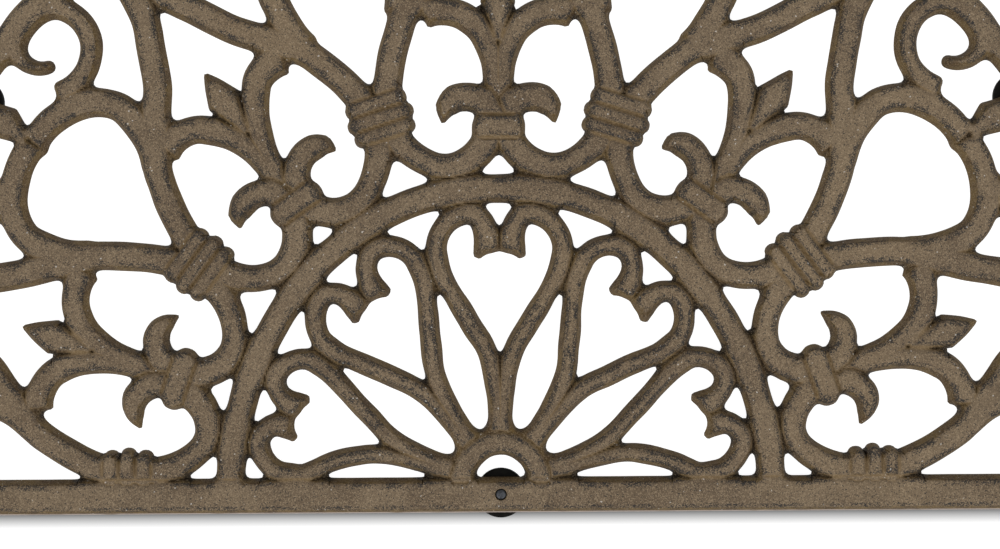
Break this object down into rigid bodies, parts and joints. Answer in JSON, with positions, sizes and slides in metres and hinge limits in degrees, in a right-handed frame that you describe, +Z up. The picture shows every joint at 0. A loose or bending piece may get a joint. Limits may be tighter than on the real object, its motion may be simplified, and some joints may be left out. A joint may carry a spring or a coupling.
{
  "type": "door mat",
  "caption": "Half-round openwork cast iron door mat: hearts in a small arch, lily motifs and scrolls out to an arched rim, on screwed rubber feet.",
  "frame": {"origin": "middle of the mat's bounding box, on the floor under the rubber feet", "axes": "+X along the straight bar, +Y from the bar to the top of the arched rim, +Z up out of the floor"},
  "size_m": [0.7502, 0.4118, 0.0175],
  "materials": {
    "cast_iron": "matt rust-brown coat over rough cast iron, dark grey where it is worn",
    "black_rubber": "matt moulded rubber",
    "zinc_steel": "dull zinc plate",
    "dark_steel": "dark oxidised steel"
  },
  "bodies": {
    "root": {"openwork_casting": "cast_iron", "foot_pad_bar_left": "black_rubber", "foot_washer_bar_left": "zinc_steel", "foot_screw_bar_left": "dark_steel", "foot_pad_bar_middle": "black_rubber", "foot_washer_bar_middle": "zinc_steel", "foot_screw_bar_middle": "dark_steel", "foot_pad_bar_right": "black_rubber", "foot_washer_bar_right": "zinc_steel", "foot_screw_bar_right": "dark_steel", "foot_pad_rim_left": "black_rubber", "foot_washer_rim_left": "zinc_steel", "foot_screw_rim_left": "dark_steel", "foot_pad_rim_top_left": "black_rubber", "foot_washer_rim_top_left": "zinc_steel", "foot_screw_rim_top_left": "dark_steel", "foot_pad_rim_top_right": "black_rubber", "foot_washer_rim_top_right": "zinc_steel", "foot_screw_rim_top_right": "dark_steel", "foot_pad_rim_right": "black_rubber", "foot_washer_rim_right": "zinc_steel", "foot_screw_rim_right": "dark_steel"}
  },
  "joints": []
}
